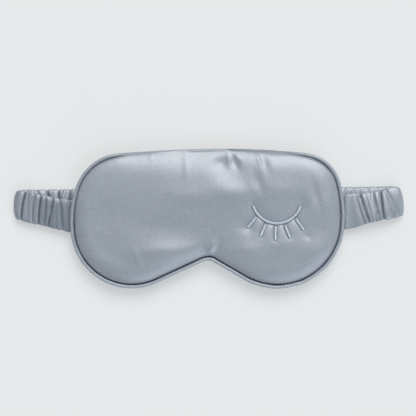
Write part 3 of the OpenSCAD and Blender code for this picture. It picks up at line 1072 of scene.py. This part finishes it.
# Painted shade in the valleys and in a line beside the seam, and the mask's painted shadow on the run beside
# it
VALLEY_DARK = 0.9
SEAM_DARK = 0.8
SEAM_DARK_AT = {1: -3.0, -1: -1.2}
SEAM_DARK_HALF = 0.8
# Painted shadow of the mask on the left run: share by side, where it ends, and how it lifts near the upper
# edge
MASK_SHADOW = {1: 0.0, -1: 0.40}
MASK_SHADOW_ENDS = (12.0, 34.0)
MASK_SHADOW_LIFTS = (8.0, 11.0)
MASK_SHADOW_LIFTED = 0.85

# Valleys between gathers on the front runs: distance from the seam, slant, bow, depth, half width
RUN_VALLEYS = {
    -1: (
        (5.5, 0.05, 0, 1.2, 0.8), (9.6, -0.04, 0.004, 0.5, 0.9), (14, -0.23, 0, 1.5, 0.8),
        (18.2, -0.11, 0.002, 1.1, 0.7), (22.9, -0.12, -0.002, 1.8, 0.8), (27.7, -0.09, 0, 0.9, 0.7),
        (31.6, -0.02, 0.003, 0.4, 0.9), (36, -0.14, 0, 1.9, 0.9), (40.6, -0.06, 0.002, 0.6, 1),
    ),
    1: (
        (9, -0.27, 0.004, 1, 1.1), (12.6, -0.29, 0, 1.9, 0.8), (16, -0.24, 0, 0.5, 0.9),
        (21.6, -0.19, 0.004, 1, 1.2), (26.2, -0.03, 0.004, 1.8, 0.8), (31.5, -0.32, 0, 0.45, 1.3),
        (35, -0.42, 0, 0.45, 1.2),
    ),
}
RUN_BANKS = (0.6, 1.8)
RUN_DEEPEN = 1.35
RUN_FALL = 0.95
# RUN_DARKEST and DARK_SHARE set the painted shade of a valley: the depth at which it is full, and its width
RUN_DARKEST = 1.6
RUN_INNER_SHIFT = 1.3
DARK_SHARE = 0.7
# Valleys behind that show above the front run: distance from the fold, slant, depth, half width
BEHIND_SEEN = {
    -1: (
        (8, -0.2, 1.3, 1), (13, -0.2, 1.1, 0.7), (19, -0.48, 2, 0.9),
        (25.1, -0.3, 2.3, 1.3), (31.6, -0.1, 1.9, 0.7), (39.3, 0, 2.3, 1),
    ),
    1: (
        (22, 0.2, 0.4, 1), (30, -0.3, 0.4, 1), (39.4, -0.5, 0.9, 0.6), (42.6, -0.5, 1, 0.6),
    ),
}
SEEN_REACH = {1: 47.0, -1: 44.0}
SEEN_SHIFT = 0.3
SEEN_WANDER = 0.2
# Valleys behind that are drawn at random, past the seen ones
UNSEEN_STEPS = (4.6, 8.4)
UNSEEN_MOST = 60
UNSEEN_FROM = 2.0
MIDDLE_CLEAR = 3.0
BEHIND_BANKS = (0.6, 1.6)
BEHIND_DEEPEN = 1.3
# Painted shade of a valley behind, by its depth
BEHIND_DARK = 0.58
WANDER_RATE = 0.33
DEEP_RATE = 0.21
# The valley at the middle of the strap, and short tucks that start at the two edges
MIDDLE_DEPTH = 1.0
MIDDLE_HALF = 1.0
MIDDLE_FALL = 1.3
TUCK_FROM = 4.0
TUCK_STEP = 1.7
TUCKS_SPARED = 3
TUCK_REACH = 7.0
TUCK_FALL = 1.5
# Painted shade of a tuck, by its depth
TUCK_DARK = 0.7


class Strap:
    """One side of the strap: its centre line by arc length, and the gathers in its sleeve.

    The line starts at the seam, runs out to the fold, turns half a circle and comes back to the middle.
    """

    def __init__(self, side):
        self.side = side
        self.fold_x = FOLD_X + FOLD_OUT
        self.run = math.hypot(self.fold_x - SEAM_AT[0], RUN_Z - SEAM_AT[2])
        self.bow = math.pi * (FOLD_Z - STRAP_Z)
        self.fold_end = self.run + self.bow
        self.whole = self.fold_end + self.fold_x
        draw = np.random.default_rng(31 + side)
        self.behind = self.gather_behind(draw)
        self.tucks = self.tuck_edges(draw)

    def gather_behind(self, draw):
        """Valleys behind: those that show, as given, then random ones on to the middle."""
        steps = draw.uniform(*UNSEEN_STEPS, UNSEEN_MOST).cumsum()
        places = self.fold_end + UNSEEN_FROM + steps
        past_seen = places > self.fold_end + SEEN_REACH[self.side]
        unseen = places[past_seen & (places < self.whole - MIDDLE_CLEAR)]
        seen = np.array(BEHIND_SEEN[self.side])
        place = np.concatenate([self.fold_end + seen[:, 0], unseen])
        count = len(place)
        slant = draw.uniform(-0.22, 0.22, count)
        depth = draw.uniform(0.9, 1.6, count)
        width = draw.uniform(0.7, 1.2, count)
        shift = draw.uniform(-0.9, 0.9, count)
        wander = draw.uniform(0.3, 1.0, count)
        phase = draw.uniform(0, math.tau, count)
        shown = slice(len(seen))
        slant[shown] = seen[:, 1]
        depth[shown] = seen[:, 2]
        width[shown] = seen[:, 3]
        shift[shown] = SEEN_SHIFT
        wander[shown] = SEEN_WANDER
        return list(zip(place, slant, depth, width, shift, wander, phase))

    def tuck_edges(self, draw):
        """Short tucks at even steps with a random shift, each at one edge."""
        count = int(self.whole / TUCK_STEP) - TUCKS_SPARED
        place = TUCK_FROM + TUCK_STEP * (np.arange(count) + draw.uniform(-0.6, 0.6, count))
        edge = draw.choice([-1.0, 1.0], count)
        slant = draw.uniform(-0.35, 0.35, count)
        depth = draw.uniform(0.15, 0.75, count)
        width = draw.uniform(0.4, 0.8, count)
        return list(zip(place, edge, slant, depth, width))

    def line(self, u):
        """Centre points at arc lengths u, and the way that the sleeve's outer face looks there.

        A straight run that dips into the seam, half a circle, and a straight way back.
        """
        out = np.clip(u / self.run, None, 1.0)
        on_way = np.clip(out, 0.0, 1.0)
        turn = np.clip((u - self.run) / self.bow, 0.0, 1.0)
        home = np.clip(u - self.fold_end, 0.0, None)
        radius = FOLD_Z - STRAP_Z
        angle = math.pi / 2 - math.pi * turn
        on_run = turn <= 0
        x_run = SEAM_AT[0] + (self.fold_x - SEAM_AT[0]) * out
        past_tail = ramp(u + TAIL_OUT[self.side], 0.0, TAIL_RUN)
        dip = TAIL_DIP + (SEAM_DIP * bell(u, SEAM_DIP_HALF) - TAIL_DIP) * past_tail
        z_run = SEAM_AT[2] + (RUN_Z - SEAM_AT[2]) * on_way - dip
        x = np.where(on_run, x_run, self.fold_x + radius * np.cos(angle) - home)
        z = np.where(on_run, z_run, FOLD_Z + radius * np.sin(angle))
        y = SEAM_Y + (FOLD_Y[self.side] - SEAM_Y) * on_way
        y = y + (STRAP_Y - FOLD_Y[self.side]) * ramp(home, *BACK_EVENS)
        lean = math.atan2(SEAM_AT[2] - RUN_Z, self.fold_x - SEAM_AT[0])
        tilt = lean * (1 - ramp(u - self.run, -LEVEL_RUN, 0.0))
        facing = np.where(on_run, math.pi / 2 - tilt, angle)
        centre = np.stack([x, y, z], -1)
        normal = np.stack([np.cos(facing), np.zeros_like(x), np.sin(facing)], -1)
        return centre, normal

    def valleys(self, u, y, outer):
        """Depth and painted shade of the valleys between gathers, and of the tucks that start at the two
        edges.

        A valley is about depth * exp(-|off| / bank), off = u - place - slant y - bow y^2, with one bank
        steep and the other about three times as wide. Its painted shade is a narrower bell.
        """
        total = np.zeros(np.broadcast(u, y).shape)
        dark = np.zeros_like(total)
        inner_shift = 0.0 if outer else RUN_INNER_SHIFT
        for place, slant, bow, depth, width in RUN_VALLEYS[self.side]:
            off = u - place - inner_shift - slant * y - bow * y * y
            bank = width * np.where(off > 0, *RUN_BANKS)
            total += RUN_DEEPEN * depth * np.exp(-((np.abs(off) / bank) ** RUN_FALL))
            dark = np.maximum(dark, min(depth / RUN_DARKEST, 1.0) * bell(off, DARK_SHARE * bank))
        for place, slant, depth, width, shift, wander, phase in self.behind:
            off = u - place - (0.0 if outer else shift) - slant * y
            off = off - wander * np.sin(WANDER_RATE * y + phase)
            bank = width * np.where(off * shift > 0, *BEHIND_BANKS)
            deep = depth * (0.75 + 0.25 * np.sin(DEEP_RATE * y + 2.0 * phase))
            total += BEHIND_DEEPEN * deep * np.exp(-(np.abs(off) / bank))
            dark = np.maximum(dark, BEHIND_DARK * deep * bell(off, DARK_SHARE * bank))
        for place, edge, slant, depth, width in self.tucks:
            in_from_edge = y - edge * SLEEVE_HALF
            off = np.abs(u - place - slant * in_from_edge)
            sharp = bell(in_from_edge, TUCK_REACH) * np.exp(-((off / width) ** TUCK_FALL))
            total += depth * sharp
            dark = np.maximum(dark, TUCK_DARK * depth * sharp)
        off = np.abs(u - self.whole)
        return total + MIDDLE_DEPTH * np.exp(-((off / MIDDLE_HALF) ** MIDDLE_FALL)), dark

    def surface(self, u):
        """Points of the sleeve and their painted shade: superellipse rings whose faces sink into the
        valleys.

        A ring reaches half * c across and lift * s out, with c and s powers of cosine and sine. On the run
        it rolls about the centre line, and at the fold it is slanted and bowed.
        """
        angle = np.linspace(0, math.tau, SECTION, endpoint=False)
        c = np.sign(np.cos(angle)) * np.abs(np.cos(angle)) ** WIDE_POWER
        s = np.sign(np.sin(angle)) * np.abs(np.sin(angle)) ** LIFT_POWER
        uu = u[:, None]
        y = SLEEVE_HALF * c
        outer = 0.5 + 0.5 * np.clip(FACE_TURN * np.sin(angle), -1, 1)
        sunk_out, dark_out = self.valleys(uu, y, True)
        sunk_in, dark_in = self.valleys(uu, y, False)
        sunk = outer * sunk_out + (1 - outer) * sunk_in
        dark = outer * dark_out + (1 - outer) * dark_in
        gathered = ramp(uu - GATHER_FROM, 0.0, SMOOTH_START[self.side])
        start = ramp(uu, 0.0, START_RUN)
        on_run = 1 - ramp(uu - self.run, 0.0, self.bow)
        apex = bell(uu - self.run - self.bow / 2, APEX_HALF)
        behind = ramp(uu - self.fold_end, 0.0, BEHIND_RUN)
        full_out = (STRAP_Z + RUN_FULL * on_run * (1 - APEX_FLAT * apex)) * start + START_OUT * (1 - start)
        full_in = STRAP_Z * start + START_IN * (1 - start) + BEHIND_FULL * behind
        lift = np.where(s > 0, full_out, full_in)
        held = np.where(s > 0, HELD_OUT + (1 - HELD_OUT) * on_run, HELD_IN + HELD_BEHIND * behind)
        depth = np.minimum(sunk * held * gathered, lift - SLEEVE_LEAST)
        plump = 1 + PLUMP * np.sin(uu * PLUMP_RATE + PLUMP_LEAN * c)
        rise = s * (lift * plump.clip(None, 1.0) - depth * np.abs(s) ** 0.5)
        half = SLEEVE_HALF - DRAWN_IN * np.minimum(sunk, DRAWN_MOST) * gathered
        half = half - APEX_NARROW * apex - BEHIND_NARROW * behind
        half = half + FLARE[self.side] * bell(np.maximum(uu, 0.0), FLARE_RUN)
        swing = math.radians(RUN_ROLL[self.side]) * ramp(uu, 0.0, RUN_ROLL_RUN)
        swing = swing * (1 - ramp(uu - self.run, -RUN_ROLL_END, 0.0))
        wide = half * c * np.cos(swing) - rise * np.sin(swing)
        rise = rise * np.cos(swing) + half * c * np.sin(swing)
        rise = rise + RUN_ROLL_LIFT * SLEEVE_HALF * np.abs(np.sin(swing))
        centre, normal = self.line(u)
        points = centre[:, None, :] + rise[..., None] * normal[:, None, :]
        points[..., 1] += wide
        points[..., 2] = np.maximum(points[..., 2], LOWEST)
        folding = ramp(uu - self.run, -FOLD_SLANT_RUN, 0.0)
        folding = folding * (1 - ramp(uu - self.fold_end, 0.0, FOLD_SLANT_RUN))
        points[..., 0] -= (FOLD_SLANT[self.side] * wide + FOLD_BOW * wide * wide) * folding
        points[..., 0] *= self.side
        return points, self.painted_shading(uu, y, dark * gathered)

    def painted_shading(self, uu, y, valley):
        """Painted shade of the valleys or beside the seam, whichever is more, then the mask's painted shadow
        over it.
        """
        # Painted shade: a dark line where the sleeve meets the piping at the seam
        seam = SEAM_DARK * bell(uu - SEAM_DARK_AT[self.side], SEAM_DARK_HALF)
        dark = np.maximum(VALLEY_DARK * valley, seam)
        # Painted shadow of the mask over the left run, lifted near its upper edge
        mask_shadow = MASK_SHADOW[self.side] * (1 - ramp(uu, *MASK_SHADOW_ENDS))
        mask_shadow = mask_shadow * (1 - MASK_SHADOW_LIFTED * ramp(y, *MASK_SHADOW_LIFTS))
        return dark + mask_shadow * (1 - dark)


# Where the sleeve behind is tucked into the front one, it is drawn in
TUCKED_IN = 0.16
TUCKED_RUN = 2.0


def make_sleeve(name, strap, start, end, tucked):
    """A length of the sleeve from one arc length to another, drawn in at the fold where it is tucked."""
    u = np.linspace(start, end, int((end - start) / SPACING) + 2)
    grid, dark = strap.surface(u)
    if tucked:
        centre, _ = strap.line(u)
        centre[:, 0] *= strap.side
        share = 1 - TUCKED_IN * (1 - ramp(u - strap.fold_end, -TUCKED_RUN, TUCKED_RUN))
        grid = centre[:, None, :] + (grid - centre[:, None, :]) * share[:, None, None]
    faces = grid_faces(len(u), SECTION, False, True).tolist()
    uv = grid_uv(u, np.linspace(0, 4 * SLEEVE_HALF, SECTION, endpoint=False))
    return make_piece(name, grid.reshape(-1, 3), faces, satin_strap, uv, dark)


# Flat cloth of the sleeve: round its section with a seam, and longer than the strap by the gather
GATHER = 1.3


def make_strap_side(side, word):
    """Front run with the fold's upper part, and back run with its lower part, lapped at the fold."""
    strap = Strap(side)
    lap = strap.bow * LAP_DEG / 180.0
    middle = strap.run + strap.bow / 2
    front = make_sleeve(f"sleeve_front_{word}", strap, -TAIL[side], middle + lap, False)
    back = make_sleeve(f"sleeve_behind_{word}", strap, middle - lap, strap.whole, True)
    if side < 0:
        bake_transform(front)
    else:
        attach(front, "run_right")
    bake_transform(back)
    front_cut = (middle + lap + TAIL[side]) * GATHER
    tube_cut = (strap.whole - middle + lap) * GATHER
    front_cut * MM
    tube_cut * MM
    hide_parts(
        f"sleeve_run_{word}", f"elastic_run_{word}", f"sleeve_fold_{word}",
        f"elastic_fold_{word}", f"strap_end_{word}",
    )
    behind = [f"sleeve_back_{word}", f"elastic_back_{word}"]
    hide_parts(*behind, *(["sleeve_mid", "elastic_mid"] if side > 0 else []))


make_strap_side(-1, "left")
make_strap_side(1, "right")


# Floor, light and world
FLOOR_HALF = 1600.0
FLOOR_GLOW = 0.54
FLOOR_DARK = (0.772, 0.790, 0.792, 1)
FLOOR_LIGHT = (0.780, 0.798, 0.800, 1)
SKY = (0.94, 0.985, 1.04, 1.0)
SKY_STRENGTH = 0.37
KEY = dict(towards=(0.20, 0.78, 0.92), strength=2.3, spread_deg=44.0, colour=(1.0, 0.98, 0.945))
FILL = dict(towards=(0.45, -0.80, 0.45), strength=1.2, spread_deg=68.0, colour=(0.94, 0.99, 1.06))


def make_floor():
    """A pale matt floor that is seen from above only, and glows a little for what looks at it."""
    half = FLOOR_HALF * MM
    corners = [(-half, -half, 0), (half, -half, 0), (half, half, 0), (-half, half, 0)]
    mesh = bpy.data.meshes.new("floor")
    mesh.from_pydata(corners, [], [(0, 1, 2, 3)])
    floor = add_object("floor", mesh)
    f = Finish("pale_floor")
    colour = f.tint(f.noise(f.place(), 3.0, 2.0), FLOOR_DARK, FLOOR_LIGHT)
    matt = f.node("ShaderNodeBsdfPrincipled", None, {
        "Base Color": colour, "Roughness": 0.9, "Specular IOR Level": 0.1,
    })
    glow = f.node("ShaderNodeEmission", None, {"Color": colour, "Strength": 1.0})
    rays = [f"Is {kind} Ray" for kind in ("Camera", "Glossy", "Transmission")]
    camera, glossy, clear_ray = [f.node("ShaderNodeLightPath", output=ray) for ray in rays]
    share = FLOOR_GLOW * (camera + glossy + clear_ray)
    lit = f.node("ShaderNodeMixShader", None, {0: share, 1: matt, 2: glow})
    clear = f.node("ShaderNodeBsdfTransparent")
    under = f.node("ShaderNodeNewGeometry", output="Backfacing")
    mixed = f.node("ShaderNodeMixShader", None, {0: under, 1: lit, 2: clear})
    f.node("ShaderNodeOutputMaterial", None, {"Surface": mixed})
    floor.data.materials.append(f.material)


def add_sun(name, towards, strength, spread_deg, colour):
    """A broad soft lamp at a great distance, shining from the given direction."""
    data = bpy.data.lights.new(name, "SUN")
    data.energy = strength
    data.angle = math.radians(spread_deg)
    data.color = colour
    lamp = add_object(name, data)
    x, y, z = towards
    tilt = math.acos(z / math.sqrt(x * x + y * y + z * z))
    lamp.rotation_euler = (tilt, 0.0, math.atan2(y, x) + math.pi / 2)
    lamp.location = towards


def add_world():
    """Even grey daylight from all round."""
    world = bpy.data.worlds.new("studio")
    world.use_nodes = True
    sky = world.node_tree.nodes["Background"]
    sky.inputs["Color"].default_value = SKY
    sky.inputs["Strength"].default_value = SKY_STRENGTH
    scene.world = world


make_floor()
add_world()
add_sun("key", **KEY)
add_sun("fill", **FILL)
scene.view_settings.view_transform = "Standard"
